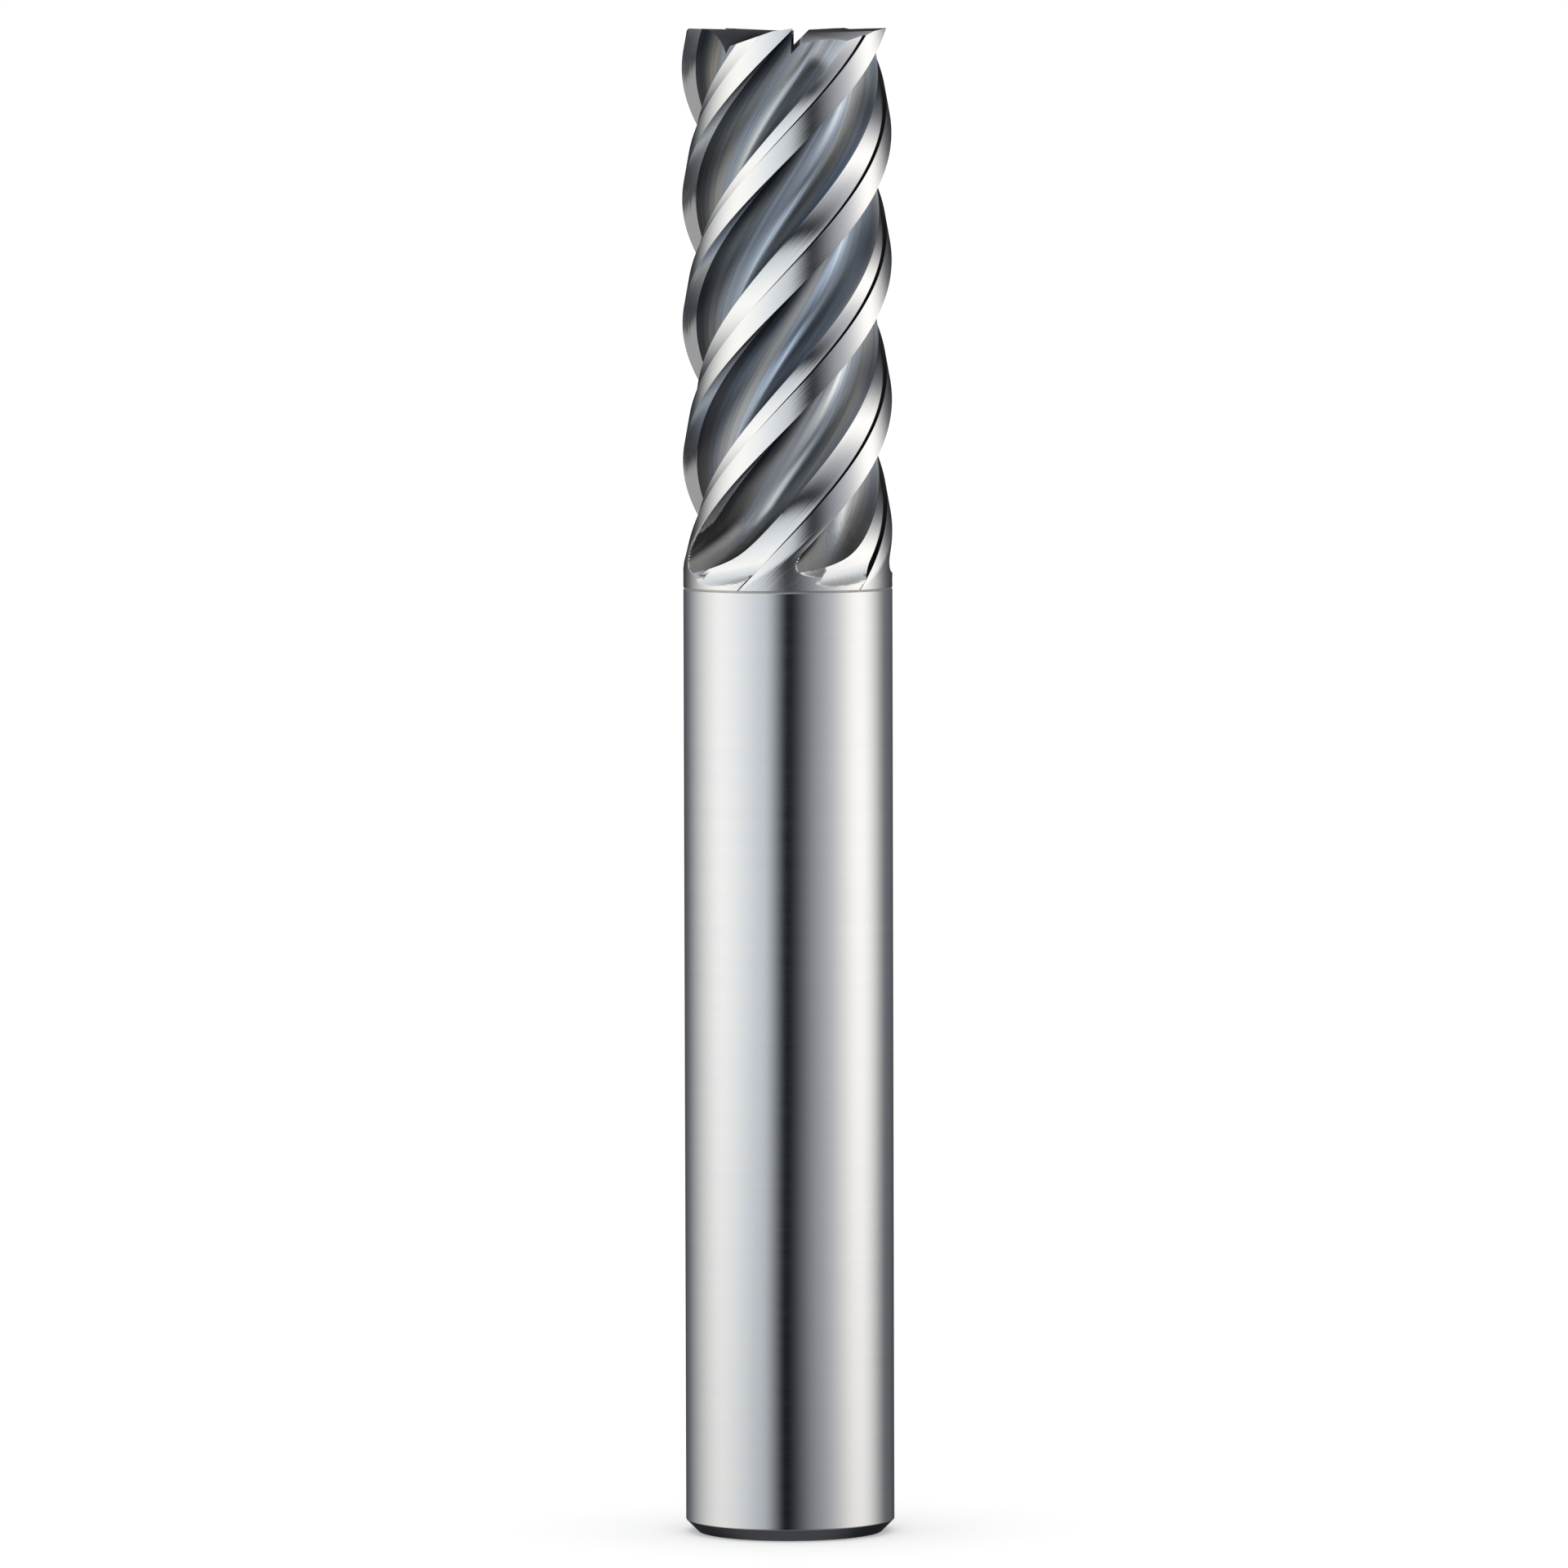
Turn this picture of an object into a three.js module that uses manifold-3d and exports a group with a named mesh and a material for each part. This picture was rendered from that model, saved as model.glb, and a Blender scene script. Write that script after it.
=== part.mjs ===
// A 10 mm square-end milling cutter with five helical flutes.
//
// Three separate pieces, all round the Z axis: the ground steel shank at the
// bottom, the fluted carbide head at the top with a tenon that stands in the
// shank's socket, and the thin layer of braze that fills the gap between them.
// Z = 0 is the flat end of the shank. The cutting end is at the top.

import * as THREE from 'three';
import { ConvexGeometry } from 'three/addons/geometries/ConvexGeometry.js';
import { mergeVertices } from 'three/addons/utils/BufferGeometryUtils.js';
import Module from 'manifold-3d';

// Overall sizes, in millimetres.
const TOOL_DIAMETER = 10;
const TOOL_LENGTH = 72;
const HEAD_LENGTH = 26.65;
const SHANK_CHAMFER = 0.6;

// The brazed joint.
const BRAZE_GAP = 0.1;
const BRAZE_RECESS = 0.02;
const TENON_DIAMETER = 5;
const TENON_LENGTH = 8;
const TENON_CHAMFER = 0.4;

// The teeth. The helix is right-handed and the teeth are unevenly spaced.
const HELIX_ANGLE = 45;
const TOOTH_STEPS = [71.7, 67.6, 75.2, 69.4, 76.1];
const FIRST_TOOTH_AZIMUTH = -86;

// The section of a tooth and its flute.
const CORE_DIAMETER = 6;
const RAKE_ANGLE = 8;
const FLUTE_WIDTH_ANGLE = 43.5;
const FLUTE_BOTTOM_ANGLE = 24;
const PRIMARY_LAND_ANGLE = 15;
const PRIMARY_LAND_DROP = 0.24;
const LAND_STEP_ANGLE = 0.8;
const LAND_STEP_DROP = 0.16;
const SECONDARY_RELIEF_ANGLE = 19;
const HEEL_WALL_LEAN = 10;

// How far the flute's curve keeps its direction: from the cutting edge as a
// share of the flute's depth, on each side of the bottom as a share of the core
// radius, and from the heel as a share of the heel wall's width.
const RAKE_CURVE_SHARE = 0.6;
const BOTTOM_CURVE_SHARE = 0.25;
const HEEL_CURVE_SHARE = 0.35;

// The run-outs above the joint: the height where each surface starts to rise
// and the height where it has reached the full radius.
const FLUTE_RUNOUT_START = 3.9;
const FLUTE_RUNOUT_END = 0.66;
const SECONDARY_RUNOUT_START = 1.4;
const SECONDARY_RUNOUT_END = 0.2;
const PRIMARY_RUNOUT_START = 3.9;
const PRIMARY_RUNOUT_END = 0.05;

// The undercut of the rake face straightens out this many times sooner than
// the flute rises, and leaves its points this many degrees apart.
const UNDERCUT_FADE_RATE = 4;
const LEAST_POINT_ANGLE = 0.5;

// The end teeth and the gashes between them.
const END_DISH_ANGLE = 1.5;
const END_PRIMARY_RELIEF = 8;
const END_PRIMARY_WIDTH = 1;
const END_SECONDARY_RELIEF = 19;
const GASH_CENTRE_DEPTH = 0.6;
const GASH_RIM_DEPTH = 1.6;
const GASH_BACK_ANGLE = 45;
const SECTOR_LEAD_ANGLE = 4;
const SECTOR_STOP_ANGLE = 2;
const SHORT_GASH_START = 0.5;
const CENTRE_GASH_DEPTH = 0.8;
const CENTRE_GASH_START = -5.5;
const CENTRE_GASH_END = 2.2;
const CENTRE_GASH_TURN = 4;
const CENTRE_GASH_ASIDE = 0.35;

// How far the cutting shapes reach past the metal they cut.
const CUTTER_CLEARANCE = 1;

// Fineness of the facets, and how near two points must be to become one.
const ROUND_SEGMENTS = 72;
const ROW_HEIGHT = 0.8;
const FADE_ROW_HEIGHT = 0.4;
const PRIMARY_POINTS = 3;
const SECONDARY_POINTS = 2;
const RAKE_POINTS = 4;
const HEEL_POINTS = 5;
const WELD_DISTANCE = 1e-5;

// Sizes that follow from the ones above.
const RADIUS = TOOL_DIAMETER / 2;
const CORE_RADIUS = CORE_DIAMETER / 2;
const TENON_RADIUS = TENON_DIAMETER / 2;
const SOCKET_RADIUS = TENON_RADIUS + BRAZE_GAP;
const HEAD_BACK = TOOL_LENGTH - HEAD_LENGTH;
const SHANK_TOP = HEAD_BACK - BRAZE_GAP;
const TENON_END = HEAD_BACK - TENON_LENGTH;
const SOCKET_FLOOR = TENON_END - BRAZE_GAP;
const TURN_PER_MM = Math.tan(THREE.MathUtils.degToRad(HELIX_ANGLE)) / RADIUS;
const PRIMARY_RADIUS = RADIUS - PRIMARY_LAND_DROP;
const SECONDARY_RADIUS = PRIMARY_RADIUS - LAND_STEP_DROP;
const SECONDARY_LOW_RADIUS = SECONDARY_RADIUS * Math.cos(THREE.MathUtils.degToRad(SECONDARY_RELIEF_ANGLE));
const FLUTE_RUNOUT = { start: FLUTE_RUNOUT_START, end: FLUTE_RUNOUT_END, rise: RADIUS - CORE_RADIUS };
const SECONDARY_RUNOUT = {
  start: SECONDARY_RUNOUT_START,
  end: SECONDARY_RUNOUT_END,
  rise: RADIUS - SECONDARY_LOW_RADIUS,
};
const PRIMARY_RUNOUT = { start: PRIMARY_RUNOUT_START, end: PRIMARY_RUNOUT_END, rise: PRIMARY_LAND_DROP };

const wasm = await Module();
wasm.setup();

const carbideMaterial = new THREE.MeshStandardMaterial({ color: 0x8f9196, roughness: 0.28, metalness: 1 });
const brazeMaterial = new THREE.MeshStandardMaterial({ color: 0x6f6a62, roughness: 0.45, metalness: 1 });
const steelMaterial = new THREE.MeshStandardMaterial({ color: 0xb9bcc0, roughness: 0.22, metalness: 1 });

function radians(degrees) {
  return THREE.MathUtils.degToRad(degrees);
}

function polar(radius, angle) {
  return new THREE.Vector2(radius * Math.cos(angle), radius * Math.sin(angle));
}

function toSolid(geometry) {
  const bare = geometry.index ? geometry.toNonIndexed() : geometry.clone();
  bare.deleteAttribute('normal');
  bare.deleteAttribute('uv');
  const merged = mergeVertices(bare, WELD_DISTANCE);
  return new wasm.Manifold(new wasm.Mesh({
    numProp: 3,
    vertProperties: new Float32Array(merged.attributes.position.array),
    triVerts: new Uint32Array(merged.index.array),
  }));
}

function toGeometry(solid) {
  const mesh = solid.getMesh();
  const geometry = new THREE.BufferGeometry();
  geometry.setAttribute('position', new THREE.BufferAttribute(mesh.vertProperties, 3));
  geometry.setIndex(new THREE.BufferAttribute(mesh.triVerts, 1));
  geometry.computeVertexNormals();
  return geometry;
}

// A solid of revolution round Z from (radius, height) pairs, given upwards
// with the material on the side of the axis.
function revolve(pairs) {
  const profile = pairs.map(([radius, height]) => new THREE.Vector2(radius, height));
  const geometry = new THREE.LatheGeometry(profile, ROUND_SEGMENTS);
  geometry.rotateX(Math.PI / 2);
  return geometry;
}

// The azimuth of each cutting corner at the tip, and the step back from it
// to the tooth behind.
function toothList() {
  const teeth = [];
  let azimuth = radians(FIRST_TOOTH_AZIMUTH);
  TOOTH_STEPS.forEach((step, index) => {
    if (index > 0) {
      azimuth += radians(step);
    }
    teeth.push({ azimuth, step: radians(step) });
  });
  return teeth;
}

// The rake face, flute bottom and heel wall in front of a cutting edge that
// lies at angle 0, up to the heel of the next tooth.
function fluteCurve(heel) {
  const edge = new THREE.Vector2(RADIUS, 0);
  const rake = radians(RAKE_ANGLE);
  const bottomAngle = radians(FLUTE_BOTTOM_ANGLE);
  const bottom = polar(CORE_RADIUS, bottomAngle);
  const along = polar(1, bottomAngle + Math.PI / 2);
  const rakeRun = (RADIUS - CORE_RADIUS) * RAKE_CURVE_SHARE;
  const bottomRun = CORE_RADIUS * BOTTOM_CURVE_SHARE;
  const heelRun = heel.distanceTo(bottom) * HEEL_CURVE_SHARE;
  const heelLean = heel.angle() + radians(HEEL_WALL_LEAN);
  const path = new THREE.CurvePath();
  path.add(new THREE.CubicBezierCurve(
    edge,
    edge.clone().add(polar(-rakeRun, rake)),
    bottom.clone().addScaledVector(along, -bottomRun),
    bottom,
  ));
  path.add(new THREE.CubicBezierCurve(
    bottom,
    bottom.clone().addScaledVector(along, bottomRun),
    heel.clone().add(polar(-heelRun, heelLean)),
    heel,
  ));
  return [
    ...path.curves[0].getPoints(RAKE_POINTS),
    ...path.curves[1].getPoints(HEEL_POINTS).slice(1),
  ];
}

// The radius of a flat that starts at the given radius and falls back by the
// relief angle, at an angle behind its start.
function flatRadius(radius, behind, relief) {
  return radius * Math.cos(relief) / Math.cos(behind - relief);
}

// One pitch of the section, from the cutting edge of the tooth behind, at
// angle 0, to just short of the next cutting edge, at angle step. Each point
// is { radius, angle, runout, cap }. The cap is the radius of the secondary
// land carried on over the flute, which the flute can't rise above.
function pitchSection(step) {
  const primaryAngle = radians(PRIMARY_LAND_ANGLE);
  const landBack = step - primaryAngle;
  const stepFoot = landBack - radians(LAND_STEP_ANGLE);
  const relief = radians(SECONDARY_RELIEF_ANGLE);
  const landRadius = (angle) => flatRadius(SECONDARY_RADIUS, stepFoot - angle, relief);
  const heelAngle = radians(FLUTE_WIDTH_ANGLE);
  const heel = polar(landRadius(heelAngle), heelAngle);
  const foot = polar(landRadius(stepFoot), stepFoot);
  const points = fluteCurve(heel).map((point, index) => {
    const angle = Math.atan2(point.y, point.x);
    const cap = index > RAKE_POINTS ? landRadius(angle) : RADIUS;
    return { radius: point.length(), angle, runout: FLUTE_RUNOUT, cap, index };
  });
  for (let k = 1; k <= SECONDARY_POINTS; k += 1) {
    const point = heel.clone().lerp(foot, k / SECONDARY_POINTS);
    points.push({
      radius: point.length(),
      angle: point.angle(),
      runout: SECONDARY_RUNOUT,
      cap: RADIUS,
      index: 0,
    });
  }
  for (let k = 0; k < PRIMARY_POINTS; k += 1) {
    const part = k / PRIMARY_POINTS;
    points.push({
      radius: PRIMARY_RADIUS + PRIMARY_LAND_DROP * part,
      angle: landBack + primaryAngle * part,
      runout: PRIMARY_RUNOUT,
      cap: RADIUS,
      index: 0,
    });
  }
  return points;
}

// How far a surface has run out at a height above the joint: 0 where it is
// whole, 1 where it has gone, rising as the square of the distance.
function faded(height, { start, end }) {
  const part = THREE.MathUtils.clamp((start - height) / (start - end), 0, 1);
  return part * part;
}

// The closed section at a height above the joint, as 3-D points.
function headRow(teeth, sections, height) {
  const z = HEAD_BACK + height;
  const turn = (z - TOOL_LENGTH) * TURN_PER_MM;
  const undercutGone = Math.min(1, faded(height, FLUTE_RUNOUT) * UNDERCUT_FADE_RATE);
  const landRise = faded(height, SECONDARY_RUNOUT) * SECONDARY_RUNOUT.rise;
  const row = [];
  teeth.forEach((tooth, toothIndex) => {
    const start = tooth.azimuth - tooth.step + turn;
    sections[toothIndex].forEach((point) => {
      const risen = point.radius + faded(height, point.runout) * point.runout.rise;
      const radius = Math.min(RADIUS, risen, point.cap + landRise);
      const straight = Math.max(point.angle, point.index * radians(LEAST_POINT_ANGLE));
      const angle = start + THREE.MathUtils.lerp(point.angle, straight, undercutGone);
      row.push(new THREE.Vector3(radius * Math.cos(angle), radius * Math.sin(angle), z));
    });
  });
  return row;
}

// The heights of the section rows, closer together where the flutes fade.
function rowHeights() {
  const heights = [];
  const whole = FLUTE_RUNOUT.start;
  for (let height = 0; height < whole; height += FADE_ROW_HEIGHT) {
    heights.push(height);
  }
  const rows = Math.ceil((HEAD_LENGTH - whole) / ROW_HEIGHT);
  for (let k = 0; k <= rows; k += 1) {
    heights.push(whole + (HEAD_LENGTH - whole) * k / rows);
  }
  return heights;
}

// The fluted bar: the section swept up the helix and closed with flat ends.
function flutedBar(teeth) {
  const sections = teeth.map((tooth) => pitchSection(tooth.step));
  const rows = rowHeights().map((height) => headRow(teeth, sections, height));
  const count = rows[0].length;
  const vertices = rows.flat();
  const faces = [];
  for (let j = 0; j + 1 < rows.length; j += 1) {
    for (let i = 0; i < count; i += 1) {
      const next = (i + 1) % count;
      const a = j * count + i;
      const b = j * count + next;
      const c = (j + 1) * count + next;
      const d = (j + 1) * count + i;
      faces.push(a, b, d, b, c, d);
    }
  }
  const top = (rows.length - 1) * count;
  const capTriangles = (row) => THREE.ShapeUtils.triangulateShape(
    row.map((point) => new THREE.Vector2(point.x, point.y)),
    [],
  );
  capTriangles(rows[0]).forEach(([a, b, c]) => faces.push(c, b, a));
  capTriangles(rows.at(-1)).forEach(([a, b, c]) => faces.push(top + a, top + b, top + c));
  const geometry = new THREE.BufferGeometry();
  geometry.setFromPoints(vertices);
  geometry.setIndex(faces);
  return geometry;
}

// The space above one tooth's end face: a sector that starts just ahead of the
// cutting edge and stops just ahead of the next one back. A plane bounds it
// below, falling back from the edge and in to the axis.
function endReliefCutter(step, reliefAngle, fallStart, startDrop) {
  const reach = RADIUS + CUTTER_CLEARANCE;
  const lead = radians(SECTOR_LEAD_ANGLE);
  const stop = radians(SECTOR_STOP_ANGLE) - step;
  const corners = [polar(0, 0), polar(reach, lead), polar(reach, stop / 2), polar(reach, stop)];
  const floor = (corner) => {
    const dish = (corner.x - RADIUS) * Math.tan(radians(END_DISH_ANGLE));
    const fall = (corner.y + fallStart) * Math.tan(radians(reliefAngle));
    return TOOL_LENGTH + dish + fall - startDrop;
  };
  const roof = TOOL_LENGTH + CUTTER_CLEARANCE;
  const points = corners.flatMap((corner) => [
    new THREE.Vector3(corner.x, corner.y, floor(corner)),
    new THREE.Vector3(corner.x, corner.y, roof),
  ]);
  return new ConvexGeometry(points);
}

// A gash: a V groove with one upright wall under the end cutting edge and a
// sloping back wall. It runs between two distances from the axis, each with
// its depth below the tip, and can be moved aside, forward of the edge.
function gashCutter(from, to, aside) {
  const height = GASH_RIM_DEPTH + CUTTER_CLEARANCE * 2;
  const lean = height * Math.tan(radians(GASH_BACK_ANGLE));
  const points = [from, to].flatMap(({ distance, depth }) => [
    new THREE.Vector3(distance, aside, TOOL_LENGTH - depth),
    new THREE.Vector3(distance, aside, TOOL_LENGTH - depth + height),
    new THREE.Vector3(distance, aside + lean, TOOL_LENGTH - depth + height),
  ]);
  return new ConvexGeometry(points);
}

// The gash under one end cutting edge, deeper towards the rim.
function toothGash(start) {
  const slope = (GASH_RIM_DEPTH - GASH_CENTRE_DEPTH) / RADIUS;
  const at = (distance) => ({ distance, depth: GASH_CENTRE_DEPTH + slope * distance });
  return gashCutter(at(start), at(RADIUS + CUTTER_CLEARANCE), 0);
}

// The level gash that runs from the first tooth across the axis.
function centreGash() {
  const cutter = gashCutter(
    { distance: CENTRE_GASH_START, depth: CENTRE_GASH_DEPTH },
    { distance: CENTRE_GASH_END, depth: CENTRE_GASH_DEPTH },
    CENTRE_GASH_ASIDE,
  );
  cutter.rotateZ(radians(FIRST_TOOTH_AZIMUTH - CENTRE_GASH_TURN));
  return cutter;
}

// The carbide head: fluted bar, end teeth, and the tenon on its back face.
function cuttingHead() {
  const teeth = toothList();
  const primaryDrop = END_PRIMARY_WIDTH * Math.tan(radians(END_PRIMARY_RELIEF));
  let head = toSolid(flutedBar(teeth));
  teeth.forEach((tooth, index) => {
    const cutters = [
      endReliefCutter(tooth.step, END_PRIMARY_RELIEF, 0, 0),
      endReliefCutter(tooth.step, END_SECONDARY_RELIEF, END_PRIMARY_WIDTH, primaryDrop),
      toothGash(index === 0 ? 0 : SHORT_GASH_START),
    ];
    cutters.forEach((cutter) => {
      cutter.rotateZ(tooth.azimuth);
      head = head.subtract(toSolid(cutter));
    });
  });
  head = head.subtract(toSolid(centreGash()));
  const tenon = revolve([
    [0, TENON_END],
    [TENON_RADIUS - TENON_CHAMFER, TENON_END],
    [TENON_RADIUS, TENON_END + TENON_CHAMFER],
    [TENON_RADIUS, HEAD_BACK + CUTTER_CLEARANCE],
    [0, HEAD_BACK + CUTTER_CLEARANCE],
  ]);
  head = head.add(toSolid(tenon));
  return new THREE.Mesh(toGeometry(head), carbideMaterial);
}

// The braze: a ring between the two faces, a sleeve round the tenon and a
// floor under it, in one piece.
function brazeJoint() {
  return new THREE.Mesh(revolve([
    [0, SOCKET_FLOOR],
    [SOCKET_RADIUS, SOCKET_FLOOR],
    [SOCKET_RADIUS, SHANK_TOP],
    [RADIUS - BRAZE_RECESS, SHANK_TOP],
    [RADIUS - BRAZE_RECESS, HEAD_BACK],
    [TENON_RADIUS, HEAD_BACK],
    [TENON_RADIUS, TENON_END + TENON_CHAMFER],
    [TENON_RADIUS - TENON_CHAMFER, TENON_END],
    [0, TENON_END],
  ]), brazeMaterial);
}

// The steel shank: a ground bar with a chamfered end and a blind socket.
function shank() {
  return new THREE.Mesh(revolve([
    [0, 0],
    [RADIUS - SHANK_CHAMFER, 0],
    [RADIUS, SHANK_CHAMFER],
    [RADIUS, SHANK_TOP],
    [SOCKET_RADIUS, SHANK_TOP],
    [SOCKET_RADIUS, SOCKET_FLOOR],
    [0, SOCKET_FLOOR],
  ]), steelMaterial);
}

function named(mesh, name) {
  mesh.name = name;
  return mesh;
}

const endMill = new THREE.Group();
endMill.add(named(shank(), 'shank'));
endMill.add(named(brazeJoint(), 'braze_joint'));
endMill.add(named(cuttingHead(), 'cutting_head'));

export default endMill;
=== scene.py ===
"""Looks of the five-flute milling cutter: fine surfaces and ground-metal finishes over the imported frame.

Lengths in the tables below are in millimetres, and the finished meshes are in metres.
"""
import math

import bpy
import numpy as np
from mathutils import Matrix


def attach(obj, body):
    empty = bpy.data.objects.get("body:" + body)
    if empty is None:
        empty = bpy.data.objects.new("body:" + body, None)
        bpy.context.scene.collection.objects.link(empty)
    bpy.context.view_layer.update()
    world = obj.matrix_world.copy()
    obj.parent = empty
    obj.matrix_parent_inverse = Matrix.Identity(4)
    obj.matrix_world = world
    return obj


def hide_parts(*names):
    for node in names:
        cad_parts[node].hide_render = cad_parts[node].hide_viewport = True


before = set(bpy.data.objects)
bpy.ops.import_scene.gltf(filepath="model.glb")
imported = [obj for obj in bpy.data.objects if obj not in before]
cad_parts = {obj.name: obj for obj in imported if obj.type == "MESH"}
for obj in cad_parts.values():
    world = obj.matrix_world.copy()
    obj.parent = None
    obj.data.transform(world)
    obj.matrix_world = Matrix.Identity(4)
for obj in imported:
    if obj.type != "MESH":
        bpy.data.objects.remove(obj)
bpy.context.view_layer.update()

MM = 0.001

# ---------------------------------------------------------------- sizes, mm
TOOL_RADIUS = 5.0
TOOL_LENGTH = 72.0
HEAD_BACK = 45.35
SHANK_TOP = 45.25
SHANK_CHAMFER = 0.6
BRAZE_RADIUS = 4.98
TENON_RADIUS = 2.5
TENON_END = 37.35
TENON_CHAMFER = 0.4
SOCKET_RADIUS = 2.6
SOCKET_FLOOR = 37.25

# The 45 degree helix, as a turn in radians for each millimetre of height.
TWIST = 1.0 / TOOL_RADIUS
# The step back from each cutting edge to the one behind it, and the azimuths of the edges at the tip.
TOOTH_STEPS = np.radians([71.7, 67.6, 75.2, 69.4, 76.1])
FIRST_TOOTH = math.radians(-86.0)
EDGE_AZIMUTHS = FIRST_TOOTH + np.concatenate([[0], np.cumsum(TOOTH_STEPS[1:])])
CORE_RADIUS = 3.0
RAKE = math.radians(8.0)
FLUTE_WIDTH = math.radians(43.5)
FLUTE_BOTTOM = math.radians(24.0)
PRIMARY_LAND = math.radians(15.0)
PRIMARY_RADIUS = 4.76
STEP_WIDTH = math.radians(0.8)
STEP_DROP = 0.16
SECONDARY_RADIUS = PRIMARY_RADIUS - STEP_DROP
SECONDARY_RELIEF = math.radians(19.0)
HEEL_LEAN = math.radians(10.0)
# How far the flute's curve keeps its direction at the cutting edge, the flute bottom and the heel.
RAKE_CURVE_SHARE = 0.6
BOTTOM_CURVE_SHARE = 0.25
HEEL_CURVE_SHARE = 0.35
# How far the flute wall is carried on past the heel, outwards and round, for where the land has risen.
WALL_PAST_HEEL = (3.0, 0.8)

# Where each surface starts to rise above the joint, where it is gone, and by how much it has risen there.
FLUTE_RUNOUT = (3.9, 0.66, 2.0)
SECONDARY_RUNOUT = (1.4, 0.2, 0.65)
PRIMARY_RUNOUT = (3.9, 0.05, 0.24)
# The rake's undercut is gone once the flute has risen by this much, and leaves its points this far apart in
# angle.
UNDERCUT_GONE_RISE = 0.5
LEAST_RAKE_ANGLE = math.radians(0.1)

# Fineness of the grids.
RUNOUT_HEIGHT = 4.2
RUNOUT_ROWS = 90
HELIX_ROWS = 165
RAKE_POINTS = 20
WALL_CURVE_POINTS = 60
WALL_POINTS = 24
MEETING_TRIALS = 400
SECONDARY_POINTS = 14
PRIMARY_POINTS = 10
SHANK_SEGMENTS = 256
TENON_SEGMENTS = 128

END_DISH = math.radians(1.5)
END_PRIMARY = math.radians(8.0)
END_PRIMARY_WIDTH = 1.0
END_SECONDARY = math.radians(19.0)
GASH_CENTRE_DEPTH = 0.6
GASH_RIM_DEPTH = 1.6
GASH_SLOPE = (GASH_RIM_DEPTH - GASH_CENTRE_DEPTH) / TOOL_RADIUS
SHORT_GASH = 0.5
CENTRE_GASH_TURN = math.radians(4.0)
CENTRE_GASH_ASIDE = 0.35
CENTRE_GASH_REACH = (-5.5, 2.2)
CENTRE_GASH_DEPTH = 0.8
SECTOR_LEAD = math.radians(4.0)
SECTOR_STOP = math.radians(2.0)
CUTTER_CLEARANCE = 1.0

# Rounding of the turned edges, and the depth of the hollow in the braze's outer edge.
SHANK_EDGE = 0.035
TENON_EDGE = 0.05
BRAZE_HOLLOW = 0.012

# How near a face's centre lies to the surface it belongs to, and which faces count as level or upright.
LAND_NEARNESS = 0.02
GASH_NEARNESS = 0.004
NECK_MARGIN = 0.05
LEVEL_FACE = 0.85
UPRIGHT_FACE = 0.01
END_TEETH_DEPTH = 3.0

# Edges sharper than these angles, in degrees, stay crisp.
HEAD_CRISP = 24
TURNED_CRISP = 30


# ---------------------------------------------------------------- mesh helpers
def mesh_object(name, points, faces):
    """A mesh object at the origin from points in millimetres and lists of corners."""
    mesh = bpy.data.meshes.new(name)
    mesh.from_pydata((np.asarray(points) * MM).tolist(), [], faces)
    mesh.validate()
    obj = bpy.data.objects.new(name, mesh)
    bpy.context.scene.collection.objects.link(obj)
    return obj


def smooth_with_sharp(obj, degrees):
    """Smooth shading, with every edge sharper than the angle kept crisp."""
    mesh = obj.data
    mesh.polygons.foreach_set("use_smooth", np.ones(len(mesh.polygons), bool))
    mesh.set_sharp_from_angle(angle=math.radians(degrees))
    mesh.update()


def grid_faces(rows, columns):
    """Triangles of a grid that is closed round its columns, split on the diagonal that leans with the
    helix."""
    row = np.arange(rows - 1)[:, None]
    column = np.arange(columns)[None, :]
    after = (column + 1) % columns
    a = row * columns + column
    b = row * columns + after
    c = (row + 1) * columns + after
    d = (row + 1) * columns + column
    first = np.stack(np.broadcast_arrays(a, b, d), axis=-1).reshape(-1, 3)
    second = np.stack(np.broadcast_arrays(b, c, d), axis=-1).reshape(-1, 3)
    return np.concatenate([first, second])


def rounded(profile, radius, steps=4, most=0.4):
    """A profile with each inner corner replaced by an arc: points on the two sides at the same distance from
    the corner, at most a share of either side, joined by a quadratic curve with the corner as its middle
    control point."""
    profile = np.asarray(profile, float)
    out = [profile[0]]
    for before, corner, after in zip(profile[:-2], profile[1:-1], profile[2:]):
        back = before - corner
        on = after - corner
        reach = min(radius, most * np.hypot(*back), most * np.hypot(*on))
        start = corner + back / np.hypot(*back) * reach
        end = corner + on / np.hypot(*on) * reach
        part = np.linspace(0, 1, steps + 1)[:, None]
        out.extend((1 - part) ** 2 * start + 2 * part * (1 - part) * corner + part ** 2 * end)
    out.append(profile[-1])
    return np.array(out)


def revolved(name, profile, segments=SHANK_SEGMENTS):
    """A solid of revolution: each (radius, height) of the profile becomes the circle radius * (cos a, sin a)
    at that height. The first and last points lie on the axis and close the ends as fans."""
    ring = profile[1:-1]
    angle = np.linspace(0, 2 * np.pi, segments, endpoint=False)
    x = ring[:, :1] * np.cos(angle)
    y = ring[:, :1] * np.sin(angle)
    z = np.broadcast_to(ring[:, 1:], x.shape)
    points = np.stack([x, y, z], axis=-1).reshape(-1, 3)
    points = np.concatenate([points, [[0, 0, profile[0][1]], [0, 0, profile[-1][1]]]])
    faces = grid_faces(len(ring), segments)
    column = np.arange(segments)
    after = (column + 1) % segments
    last = (len(ring) - 1) * segments
    low = np.stack([np.full(segments, len(points) - 2), after, column], axis=-1)
    high = np.stack([np.full(segments, len(points) - 1), last + column, last + after], axis=-1)
    return mesh_object(name, points, np.concatenate([faces, low, high]).tolist())


# ---------------------------------------------------------------- the fluted head
def unit(angle):
    """The unit vectors at the given angles, along the last axis."""
    return np.stack([np.cos(angle), np.sin(angle)], axis=-1)


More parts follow.
